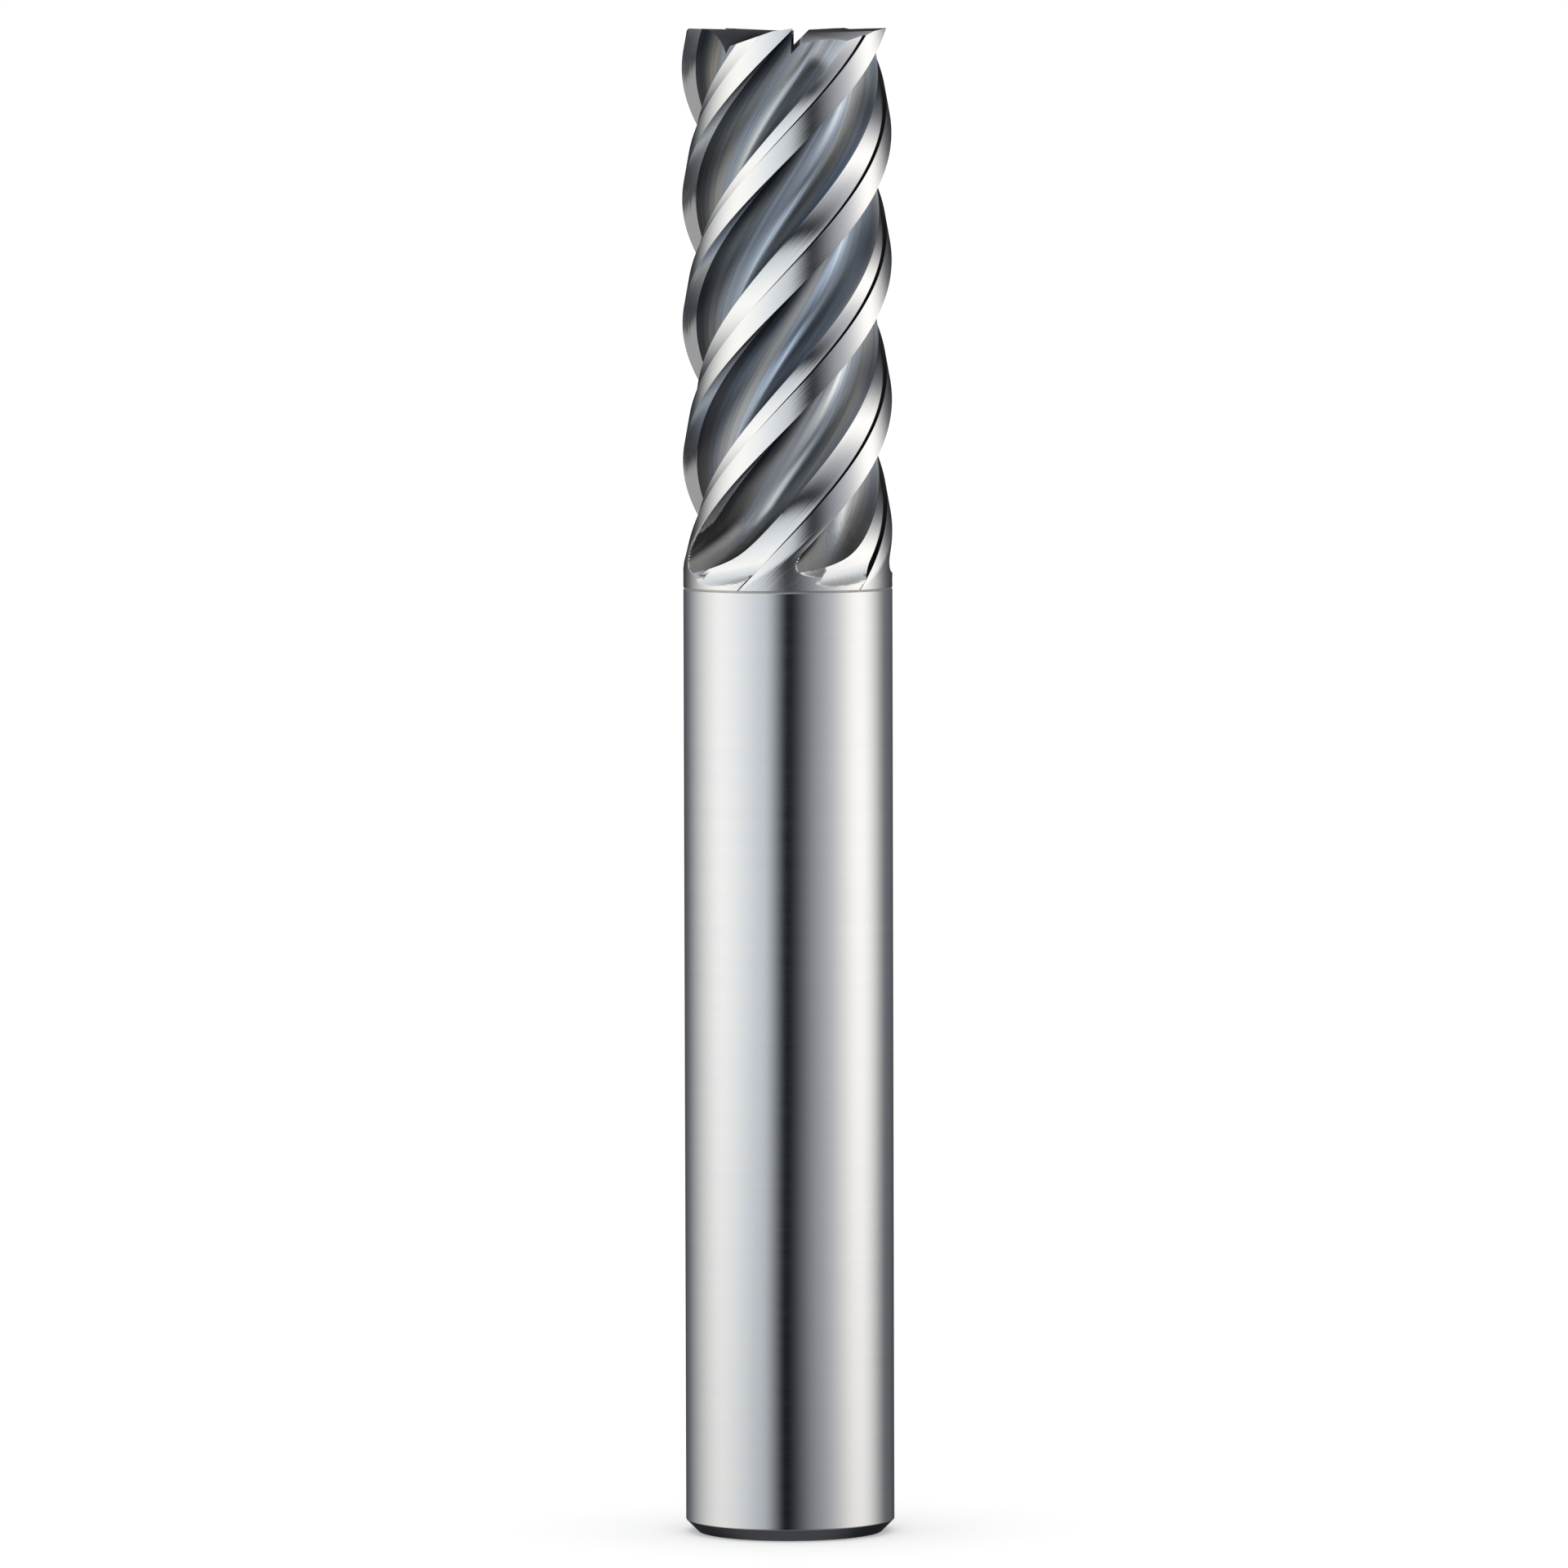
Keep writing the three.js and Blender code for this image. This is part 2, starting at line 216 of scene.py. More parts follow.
def bezier(p0, p1, p2, p3, count):
    """Points of a cubic curve at equal steps of its parameter, the first one left out."""
    t = np.linspace(0, 1, count + 1)[1:, None]
    s = 1 - t
    return s ** 3 * p0 + 3 * s * s * t * p1 + 3 * s * t * t * p2 + t ** 3 * p3


def rise(height, start, end, top):
    """0 above start and top at end and below, growing as the square of the distance from start."""
    return top * np.clip((start - height) / (start - end), 0, 1) ** 2


def chord_radius(radius, angle, relief):
    """The radius of a flat that starts at the given radius and falls back by the relief angle, at an angle
    behind its start: radius * cos(relief) / cos(angle - relief)."""
    return radius * math.cos(relief) / np.cos(angle - relief)


def tooth_surface(step, height):
    """Radius and angle of one pitch of the section at each height, from the cutting edge behind, at angle 0,
    to just short of the next edge at angle step. The rake face is a cubic curve from the edge down to the
    flute bottom. After it the radius at each angle is the lesser of the flute wall and the flat secondary
    land, which meet at the heel. A small upright step parts the secondary land from the primary land, whose
    radius grows evenly with angle. Near the joint each surface is raised by its own run-out, so that the heel
    line swings back towards the rake face, and all are held to the tool's radius."""
    land_back = step - PRIMARY_LAND
    step_foot = land_back - STEP_WIDTH
    heel_radius = chord_radius(SECONDARY_RADIUS, step_foot - FLUTE_WIDTH, SECONDARY_RELIEF)
    edge = np.array([TOOL_RADIUS, 0.0])
    bottom = CORE_RADIUS * unit(FLUTE_BOTTOM)
    heel = heel_radius * unit(FLUTE_WIDTH)
    along = unit(FLUTE_BOTTOM + np.pi / 2)
    rake_run = (TOOL_RADIUS - CORE_RADIUS) * RAKE_CURVE_SHARE
    bottom_run = CORE_RADIUS * BOTTOM_CURVE_SHARE
    heel_run = np.hypot(*(heel - bottom)) * HEEL_CURVE_SHARE
    rake = bezier(edge, edge - rake_run * unit(RAKE), bottom - bottom_run * along, bottom, RAKE_POINTS)
    rake = np.concatenate([[edge], rake])
    before_heel = heel - heel_run * unit(FLUTE_WIDTH + HEEL_LEAN)
    wall = bezier(bottom, bottom + bottom_run * along, before_heel, heel, WALL_CURVE_POINTS)
    wall_radius = np.append(np.hypot(wall[:, 0], wall[:, 1]), heel_radius + WALL_PAST_HEEL[0])
    wall_angle = np.append(np.arctan2(wall[:, 1], wall[:, 0]), FLUTE_WIDTH + WALL_PAST_HEEL[1])

    flute_rise = rise(height, *FLUTE_RUNOUT)
    second_rise = rise(height, *SECONDARY_RUNOUT)
    first_rise = rise(height, *PRIMARY_RUNOUT)

    rake_radius = np.hypot(rake[:, 0], rake[:, 1])
    rake_angle = np.arctan2(rake[:, 1], rake[:, 0])
    undercut_gone = np.minimum(1, flute_rise / UNDERCUT_GONE_RISE)
    straight = np.maximum(rake_angle, np.arange(len(rake)) * LEAST_RAKE_ANGLE)
    rake_angle = rake_angle + (straight - rake_angle) * undercut_gone
    rake_radius = rake_radius + flute_rise

    trial = np.linspace(FLUTE_BOTTOM, step_foot, MEETING_TRIALS)
    gap = (chord_radius(SECONDARY_RADIUS, step_foot - trial, SECONDARY_RELIEF) + second_rise
           - np.interp(trial, wall_angle, wall_radius) - flute_rise)
    found = np.maximum(1, np.argmax(gap < 0, axis=1))
    row = np.arange(len(found))
    above, below = gap[row, found - 1], gap[row, found]
    between = np.clip(above / (above - below), 0, 1)
    meet = (trial[found - 1] + (trial[found] - trial[found - 1]) * between)[:, None]
    part = np.linspace(0, 1, WALL_POINTS + 1)[1:]
    floor_angle = FLUTE_BOTTOM + (meet - FLUTE_BOTTOM) * part
    floor_radius = np.interp(floor_angle, wall_angle, wall_radius) + flute_rise
    part = np.linspace(0, 1, SECONDARY_POINTS + 1)[1:]
    second_angle = meet + (step_foot - meet) * part
    second_radius = chord_radius(SECONDARY_RADIUS, step_foot - second_angle, SECONDARY_RELIEF) + second_rise

    part = np.linspace(0, 1, PRIMARY_POINTS + 1)[:-1]
    first_angle = land_back + PRIMARY_LAND * part[None, :]
    first_radius = PRIMARY_RADIUS + (TOOL_RADIUS - PRIMARY_RADIUS) * part[None, :] + first_rise

    whole = np.ones_like(height)
    radius = np.concatenate([rake_radius, floor_radius, second_radius, first_radius], axis=1)
    angle = np.concatenate([rake_angle, floor_angle, second_angle, first_angle * whole], axis=1)
    return np.minimum(TOOL_RADIUS, radius), angle


def fluted_bar(name):
    """The head before its end teeth: the five tooth surfaces side by side, each turned by height * TWIST."""
    length = TOOL_LENGTH - HEAD_BACK
    height = np.concatenate([np.linspace(0, RUNOUT_HEIGHT, RUNOUT_ROWS),
                             np.linspace(RUNOUT_HEIGHT, length, HELIX_ROWS)[1:]])[:, None]
    radii, angles = [], []
    for azimuth, step in zip(EDGE_AZIMUTHS, TOOTH_STEPS):
        radius, angle = tooth_surface(step, height)
        radii.append(radius)
        angles.append(angle + azimuth - step)
    radius = np.concatenate(radii, axis=1)
    angle = np.concatenate(angles, axis=1) + (height - length) * TWIST
    x = radius * np.cos(angle)
    y = radius * np.sin(angle)
    z = np.broadcast_to(height + HEAD_BACK, x.shape)
    rows, columns = x.shape
    points = np.stack([x, y, z], axis=-1).reshape(-1, 3)
    faces = grid_faces(rows, columns).tolist()
    faces.append(list(range(columns - 1, -1, -1)))
    faces.append(list(range((rows - 1) * columns, rows * columns)))
    return mesh_object(name, points, faces)


def sector_cutter(name, azimuth, step, fall, fall_start, start_drop):
    """The space above an end face: a sector whose floor is the height field
    end + dish * (x - radius) + fall * (y + start), x out along the edge and y ahead of it."""
    reach = TOOL_RADIUS + CUTTER_CLEARANCE
    stop = SECTOR_STOP - step
    corner = np.array([[0, 0], [reach, SECTOR_LEAD], [reach, stop / 2], [reach, stop]])
    flat = corner[:, :1] * unit(corner[:, 1])
    floor = (TOOL_LENGTH + (flat[:, 0] - TOOL_RADIUS) * math.tan(END_DISH)
             + (flat[:, 1] + fall_start) * math.tan(fall) - start_drop)
    turned = corner[:, :1] * unit(corner[:, 1] + azimuth)
    low = np.column_stack([turned, floor])
    high = np.column_stack([turned, np.full(len(corner), TOOL_LENGTH + CUTTER_CLEARANCE)])
    faces = [(0, 1, 2, 3), (7, 6, 5, 4), (0, 4, 5, 1), (1, 5, 6, 2), (2, 6, 7, 3), (3, 7, 4, 0)]
    return mesh_object(name, np.concatenate([low, high]), faces)


def gash_cutter(name, azimuth, start, end, start_depth, end_depth, aside=0.0):
    """A triangular bar along an end cutting edge, between two distances from the axis: its lower edge runs
    from one depth to the other, one side is upright under the edge, and the other leans forward at 45
    degrees. The bar can be moved aside, forward of the edge."""
    tall = GASH_RIM_DEPTH + CUTTER_CLEARANCE * 2
    out = np.array([start, end])
    floor = TOOL_LENGTH - np.array([start_depth, end_depth])
    forward = unit(azimuth + np.pi / 2)
    base = out[:, None] * unit(azimuth) + aside * forward
    foot = np.column_stack([base, floor])
    top = np.column_stack([base, floor + tall])
    far = np.column_stack([base + tall * forward, floor + tall])
    points = np.concatenate([foot, top, far])
    faces = [(0, 2, 4), (1, 5, 3), (0, 1, 3, 2), (2, 3, 5, 4), (4, 5, 1, 0)]
    return mesh_object(name, points, faces)


def combine(target, other, operation):
    """Cuts or joins another closed mesh, keeps the result in the target's mesh, and removes the other
    object."""
    step = target.modifiers.new("shape", "BOOLEAN")
    step.operation = operation
    step.solver = "EXACT"
    step.object = other
    graph = bpy.context.evaluated_depsgraph_get()
    made = bpy.data.meshes.new_from_object(target.evaluated_get(graph))
    target.modifiers.clear()
    old = target.data
    target.data = made
    bpy.data.meshes.remove(old)
    spent = other.data
    bpy.data.objects.remove(other)
    bpy.data.meshes.remove(spent)


def read(collection, name, width, kind=np.float32):
    """One value of every element in part of a mesh, as rows of the given width."""
    values = np.empty(len(collection) * width, kind)
    collection.foreach_get(name, values)
    return values.reshape(-1, width)


def untwisted(point):
    """The azimuth of each point with the helix unwound: atan2(y, x) - (z - tip) * TWIST."""
    return np.arctan2(point[:, 1], point[:, 0]) - (point[:, 2] - TOOL_LENGTH) * TWIST


def in_gash(centre, normal):
    """Which faces lie on the back or the wall of a gash. With x out along the gash and y forward of it, and
    over the height above its lower edge, its back is the plane over = y and its wall is the plane y = 0."""
    gashes = [(azimuth, 0.0, GASH_CENTRE_DEPTH, GASH_SLOPE) for azimuth in EDGE_AZIMUTHS]
    gashes.append((FIRST_TOOTH - CENTRE_GASH_TURN, CENTRE_GASH_ASIDE, CENTRE_GASH_DEPTH, 0.0))
    found = np.zeros(len(centre), bool)
    for azimuth, aside, depth, fall in gashes:
        out = centre[:, :2] @ unit(azimuth)
        forward = centre[:, :2] @ unit(azimuth + np.pi / 2) - aside
        over = centre[:, 2] - TOOL_LENGTH + depth + fall * out
        on_back = (np.abs(over - forward) < GASH_NEARNESS) & (forward > 0)
        on_wall = (np.abs(forward) < GASH_NEARNESS) & (over > 0) & (np.abs(normal[:, 2]) < UPRIGHT_FACE)
        found |= on_back | on_wall
    return found


def mark_surfaces(head):
    """Stores on each face corner what its finish needs, as the attribute cut_place. Its x is the angle in
    degrees ahead of the cutting edge behind, with the tooth picked at the face's centre so that no face spans
    two teeth. Its y is 1 on the lands and the end faces, and its z is 1 on the step between the lands and 0.5
    in the gashes."""
    mesh = head.data
    corner = read(mesh.loops, "vertex_index", 1, np.int32)[:, 0]
    sides = read(mesh.polygons, "loop_total", 1, np.int32)[:, 0]
    place = read(mesh.vertices, "co", 3) / MM
    centre = read(mesh.polygons, "center", 3) / MM
    normal = read(mesh.polygons, "normal", 3)

    edges = np.concatenate([[0], np.cumsum(np.roll(TOOTH_STEPS, -1))])
    from_first = np.mod(untwisted(centre) - FIRST_TOOTH, 2 * np.pi)
    tooth = np.clip(np.searchsorted(edges, from_first, side="right") - 1, 0, len(TOOTH_STEPS) - 1)
    ahead = from_first - edges[tooth]
    behind = edges[tooth + 1] - from_first
    height = centre[:, 2] - HEAD_BACK
    radius = np.hypot(centre[:, 0], centre[:, 1])
    land_radius = (chord_radius(SECONDARY_RADIUS, behind - PRIMARY_LAND - STEP_WIDTH, SECONDARY_RELIEF)
                   + rise(height, *SECONDARY_RUNOUT))
    on_land = behind < PRIMARY_LAND + STEP_WIDTH
    on_land |= radius > np.minimum(land_radius, TOOL_RADIUS) - LAND_NEARNESS
    on_land |= height < FLUTE_RUNOUT[1] + NECK_MARGIN
    on_land |= (normal[:, 2] > LEVEL_FACE) & (height > TOOL_LENGTH - HEAD_BACK - END_TEETH_DEPTH)
    on_step = np.abs(behind - PRIMARY_LAND - STEP_WIDTH / 2) < STEP_WIDTH / 2
    kind = np.where(in_gash(centre, normal), 0.5, on_step * 1.0)

    face = np.repeat(np.arange(len(centre)), sides)
    turned = untwisted(place)[corner] - FIRST_TOOTH - from_first[face]
    turned = np.mod(turned + np.pi, 2 * np.pi) - np.pi
    values = np.column_stack([np.degrees(ahead[face] + turned), on_land[face], kind[face]])
    stored = mesh.attributes.new("cut_place", "FLOAT_VECTOR", "CORNER")
    stored.data.foreach_set("vector", values.astype(np.float32).ravel())


def end_cutters():
    """Everything that is ground out of the tip: two reliefs and a gash for each tooth, and the gash across
    the axis."""
    primary_drop = END_PRIMARY_WIDTH * math.tan(END_PRIMARY)
    rim = TOOL_RADIUS + CUTTER_CLEARANCE
    cutters = []
    for index, (azimuth, step) in enumerate(zip(EDGE_AZIMUTHS, TOOTH_STEPS)):
        cutters.append(sector_cutter("end_primary", azimuth, step, END_PRIMARY, 0, 0))
        cutters.append(sector_cutter("end_secondary", azimuth, step, END_SECONDARY, END_PRIMARY_WIDTH,
                                     primary_drop))
        start = 0.0 if index == 0 else SHORT_GASH
        cutters.append(gash_cutter("gash", azimuth, start, rim, GASH_CENTRE_DEPTH + GASH_SLOPE * start,
                                   GASH_CENTRE_DEPTH + GASH_SLOPE * rim))
    cutters.append(gash_cutter("centre_gash", FIRST_TOOTH - CENTRE_GASH_TURN, *CENTRE_GASH_REACH,
                               CENTRE_GASH_DEPTH, CENTRE_GASH_DEPTH, CENTRE_GASH_ASIDE))
    return cutters


def cutting_head():
    """The fluted bar with its end teeth cut, and the tenon joined to its back face."""
    space, *others = end_cutters()
    for cutter in others:
        combine(space, cutter, "UNION")
    head = fluted_bar("fluted_head")
    combine(head, space, "DIFFERENCE")
    profile = rounded([[0, TENON_END], [TENON_RADIUS - TENON_CHAMFER, TENON_END],
                       [TENON_RADIUS, TENON_END + TENON_CHAMFER], [TENON_RADIUS, HEAD_BACK + CUTTER_CLEARANCE],
                       [0, HEAD_BACK + CUTTER_CLEARANCE]], TENON_EDGE)
    combine(head, revolved("tenon", profile, TENON_SEGMENTS), "UNION")
    smooth_with_sharp(head, HEAD_CRISP)
    mark_surfaces(head)
    return head


# ---------------------------------------------------------------- shank and braze
def shank():
    """The ground shank: a revolved bar with rounded-over chamfer edges and a blind socket."""
    profile = rounded([[0, 0], [TOOL_RADIUS - SHANK_CHAMFER, 0], [TOOL_RADIUS, SHANK_CHAMFER],
                       [TOOL_RADIUS, SHANK_TOP], [SOCKET_RADIUS, SHANK_TOP], [SOCKET_RADIUS, SOCKET_FLOOR],
                       [0, SOCKET_FLOOR]], SHANK_EDGE)
    obj = revolved("ground_shank", profile)
    smooth_with_sharp(obj, TURNED_CRISP)
    return obj


def braze():
    """The braze layer: a stepped cup. Its outer edge is a shallow hollow between the two faces, whose radius
    is BRAZE_RADIUS - BRAZE_HOLLOW * (1 - t * t), with t from -1 to 1 across the gap."""
    part = np.linspace(-1, 1, 9)
    middle = (SHANK_TOP + HEAD_BACK) / 2
    half = (HEAD_BACK - SHANK_TOP) / 2
    hollow = np.column_stack([BRAZE_RADIUS - BRAZE_HOLLOW * (1 - part ** 2), middle + half * part])
    profile = np.concatenate([
        [[0, SOCKET_FLOOR], [SOCKET_RADIUS, SOCKET_FLOOR], [SOCKET_RADIUS, SHANK_TOP]],
        hollow,
        [[TENON_RADIUS, HEAD_BACK], [TENON_RADIUS, TENON_END + TENON_CHAMFER],
         [TENON_RADIUS - TENON_CHAMFER, TENON_END], [0, TENON_END]],
    ])
    obj = revolved("braze_seam", profile)
    smooth_with_sharp(obj, TURNED_CRISP)
    return obj


# ---------------------------------------------------------------- shader helpers
class Nodes:
    """Adds and links nodes in one tree, so that a finish reads as a list of steps."""

    def __init__(self, tree):
        self.tree = tree

    def add(self, kind, **values):
        node = self.tree.nodes.new(kind)
        for key, value in values.items():
            setattr(node, key, value)
        return node

    def link(self, source, target):
        if isinstance(source, bpy.types.NodeSocket):
            self.tree.links.new(source, target)
        else:
            target.default_value = source

    def math(self, operation, a, b=0.0, clamp=False):
        node = self.add("ShaderNodeMath", operation=operation, use_clamp=clamp)
        self.link(a, node.inputs[0])
        self.link(b, node.inputs[1])
        return node.outputs[0]

    def remap(self, value, low, high, out_low=0.0, out_high=1.0, smooth=False):
        node = self.add("ShaderNodeMapRange", interpolation_type="SMOOTHSTEP" if smooth else "LINEAR")
        self.link(value, node.inputs["Value"])
        for name, number in (("From Min", low), ("From Max", high), ("To Min", out_low), ("To Max", out_high)):
            node.inputs[name].default_value = number
        return node.outputs["Result"]

    def mix(self, factor, a, b, blend="MIX"):
        node = self.add("ShaderNodeMix", data_type="RGBA", blend_type=blend)
        self.link(factor, node.inputs[0])
        self.link(a, node.inputs[6])
        self.link(b, node.inputs[7])
        return node.outputs[2]

    def grey(self, value):
        node = self.add("ShaderNodeCombineXYZ")
        for socket in node.inputs:
            self.link(value, socket)
        return node.outputs[0]

    def noise(self, vector, scale, detail=2.0, rough=0.5):
        node = self.add("ShaderNodeTexNoise")
        self.link(vector, node.inputs["Vector"])
        node.inputs["Scale"].default_value = scale
        node.inputs["Detail"].default_value = detail
        node.inputs["Roughness"].default_value = rough
        return node.outputs["Fac"]

    def scaled(self, vector, x, y, z):
        node = self.add("ShaderNodeVectorMath", operation="MULTIPLY")
        self.link(vector, node.inputs[0])
        node.inputs[1].default_value = (x, y, z)
        return node.outputs[0]


def new_group(name, inputs, outputs):
    """An empty shader group with the given sockets, and its node builder."""
    tree = bpy.data.node_groups.new(name, "ShaderNodeTree")
    for label, kind, value in inputs:
        socket = tree.interface.new_socket(label, in_out="INPUT", socket_type=kind)
        if value is not None:
            socket.default_value = value
    for label, kind in outputs:
        tree.interface.new_socket(label, in_out="OUTPUT", socket_type=kind)
    build = Nodes(tree)
    return tree, build, build.add("NodeGroupInput"), build.add("NodeGroupOutput")


def grind_group():
    """Fine grinding marks: noise drawn out along one direction of a coordinate that already runs with the
    cut. Puts out the marks' height, and a slow unevenness for colour and roughness."""
    tree, n, given, out = new_group(
        "grind_marks",
        [("Vector", "NodeSocketVector", None), ("Across", "NodeSocketFloat", 9000.0),
         ("Along", "NodeSocketFloat", 120.0)],
        [("Height", "NodeSocketFloat"), ("Unevenness", "NodeSocketFloat")])
    parts = n.add("ShaderNodeSeparateXYZ")
    n.link(given.outputs["Vector"], parts.inputs[0])
    joined = n.add("ShaderNodeCombineXYZ")
    n.link(n.math("MULTIPLY", parts.outputs[0], given.outputs["Across"]), joined.inputs[0])
    n.link(n.math("MULTIPLY", parts.outputs[1], given.outputs["Across"]), joined.inputs[1])
    n.link(n.math("MULTIPLY", parts.outputs[2], given.outputs["Along"]), joined.inputs[2])
    fine = n.noise(joined.outputs[0], 1.0, 3.0, 0.6)
    broad = n.noise(n.scaled(joined.outputs[0], 0.12, 0.12, 0.35), 1.0, 2.0)
    n.link(n.math("ADD", n.math("MULTIPLY", fine, 0.7), n.math("MULTIPLY", broad, 0.3)), out.inputs["Height"])
    n.link(broad, out.inputs["Unevenness"])
    return tree


def set_ramp(node, stops):
    """Gives a colour ramp its stops, as pairs of a position from 0 to 1 and a colour."""
    elements = node.color_ramp.elements
    while len(elements) > 1:
        elements.remove(elements[-1])
    for k, (position, colour) in enumerate(stops):
        element = elements[0] if k == 0 else elements.new(position)
        element.position = position
        element.color = (*colour, 1)


def use_group(n, tree, **values):
    node = n.add("ShaderNodeGroup", node_tree=tree)
    for label, value in values.items():
        n.link(value, node.inputs[label])
    return node


def finish_material(name, colour, rough):
    """A metal with its constant values on the shader's own sockets."""
    material = bpy.data.materials.new(name)
    material.use_nodes = True
    n = Nodes(material.node_tree)
    shader = material.node_tree.nodes["Principled BSDF"]
    shader.inputs["Metallic"].default_value = 1.0
    shader.inputs["Base Color"].default_value = (*colour, 1)
    shader.inputs["Roughness"].default_value = rough
    return material, n, shader


def micro_bump(n, shader, height, strength, distance):
    """A bump from the grinding marks, with its depth in metres."""
    bump = n.add("ShaderNodeBump")
    bump.inputs["Strength"].default_value = strength
    bump.inputs["Distance"].default_value = distance
    n.link(height, bump.inputs["Height"])
    n.link(bump.outputs["Normal"], shader.inputs["Normal"])


# Tone of a flute by the angle in degrees ahead of the cutting edge behind, darker than the lands from its
# rougher grind: painted shade under the edge, bluish across the bottom, and a painted highlight at the foot of
# the heel wall.
FLUTE_SPAN = 50
FLUTE_SHADE_AND_HIGHLIGHT_TONES = [
    (0, (0.12, 0.12, 0.12)), (1.6, (0.15, 0.15, 0.15)), (3.2, (0.25, 0.248, 0.245)), (8, (0.34, 0.333, 0.326)),
    (12, (0.41, 0.415, 0.43)), (19, (0.40, 0.43, 0.475)), (24, (0.54, 0.59, 0.65)), (29, (0.84, 0.90, 0.96)),
    (33, (0.68, 0.71, 0.75)), (37, (0.52, 0.51, 0.505)), (41, (0.64, 0.65, 0.67)), (44, (0.80, 0.82, 0.86)),
]
COOL_TINT = (0.68, 0.77, 0.88, 1)
WARM_TINT = (1.0, 0.955, 0.88, 1)
# Painted shade for the flute's deep run-out near the joint.
RUNOUT_SHADE_COLOUR = (0.19, 0.182, 0.175, 1)
LAND_COLOUR = (0.805, 0.805, 0.80, 1)
# Painted shade for the gashes at the tip.
GASH_SHADE_COLOUR = (0.13, 0.13, 0.14, 1)
# Painted shade for the small step between the lands, which shows as a dark line.
STEP_SHADE_COLOUR = (0.03, 0.03, 0.035, 1)
# Painted reflection of shade on the shank's chamfer.
CHAMFER_SHADE_COLOUR = (0.12, 0.125, 0.14, 1)


def carbide_material(grind):
    """Ground carbide: bright lands, and darker flutes with marks that run along the helix and a duller bottom.
    The flutes carry painted shade under the cutting edges and a painted highlight at the foot of each heel
    wall, and the flute run-out near the joint, the gashes and the step between the lands are painted dark as
    painted shade. The metal darkens at a glancing angle, and is a little rougher on the neck."""
    material, n, shader = finish_material("ground_carbide", (0.6, 0.61, 0.63), 0.25)
    shader.inputs["Specular Tint"].default_value = (0.3, 0.3, 0.31, 1)
    place = n.add("ShaderNodeTexCoord").outputs["Object"]
    parts = n.add("ShaderNodeSeparateXYZ")
    n.link(place, parts.inputs[0])
    turn = n.math("MULTIPLY", parts.outputs[2], -TWIST / MM)
    spun = n.add("ShaderNodeVectorRotate", rotation_type="Z_AXIS")
    n.link(place, spun.inputs["Vector"])
    n.link(turn, spun.inputs["Angle"])
    cut = n.add("ShaderNodeSeparateXYZ")
    n.link(n.add("ShaderNodeAttribute", attribute_name="cut_place").outputs["Vector"], cut.inputs[0])
    ahead, land, kind = cut.outputs
    step = n.remap(kind, 0.6, 0.9)
    gash = n.math("SUBTRACT", n.remap(kind, 0.1, 0.4), step)
    marks = use_group(n, grind, Vector=spun.outputs[0], Across=9000.0, Along=60.0)
    # The flute's colour by angle ahead of the edge: its darker grind, with painted shade under the edge and a
    # painted highlight at the foot of the heel wall.
    tone = n.add("ShaderNodeValToRGB")
    n.link(n.math("DIVIDE", ahead, float(FLUTE_SPAN)), tone.inputs[0])
    set_ramp(tone, [(degrees / FLUTE_SPAN, colour) for degrees, colour in FLUTE_SHADE_AND_HIGHLIGHT_TONES])
    streak = n.remap(marks.outputs["Unevenness"], 0.38, 0.62)
    tint = n.mix(streak, COOL_TINT, WARM_TINT)
    flute = n.mix(1.0, tone.outputs[0], tint, blend="MULTIPLY")
    scored = n.remap(marks.outputs["Height"], 0.36, 0.64, 0.74, 1.22)
    flute = n.mix(1.0, flute, n.grey(scored), blend="MULTIPLY")
    # Painted shade: the flute fades to a dark constant near the joint, where its run-out lies deep.
    clear = n.remap(parts.outputs[2], (HEAD_BACK + 1.0) * MM, (HEAD_BACK + 5.0) * MM, 0.15, 1.0, smooth=True)
    flute = n.mix(clear, RUNOUT_SHADE_COLOUR, flute)
    colour = n.mix(land, flute, LAND_COLOUR)
    # Painted shade: the gashes are painted dark.
    colour = n.mix(gash, colour, GASH_SHADE_COLOUR)
    # Painted shade: the step between the lands is painted nearly black.
    colour = n.mix(step, colour, STEP_SHADE_COLOUR)
    n.link(colour, shader.inputs["Base Color"])
    rough = n.math("ADD", n.remap(land, 0, 1, 0.28, 0.13), n.math("MULTIPLY", marks.outputs["Height"], 0.12))
    neck = n.remap(parts.outputs[2], (HEAD_BACK + 0.4) * MM, (HEAD_BACK + 2.2) * MM, 0.06, 0.0)
    rough = n.math("ADD", rough, neck)
    dull = n.math("MINIMUM", n.remap(ahead, 5.0, 13.0), n.remap(ahead, 20.0, 28.0, 1.0, 0.0))
    whole = n.math("MAXIMUM", land, n.math("SUBTRACT", 1.0, n.math("MULTIPLY", dull, 0.7)))
    n.link(whole, shader.inputs["Metallic"])
    n.link(rough, shader.inputs["Roughness"])
    micro_bump(n, shader, marks.outputs["Height"], 0.35, 0.02 * MM)
    return material


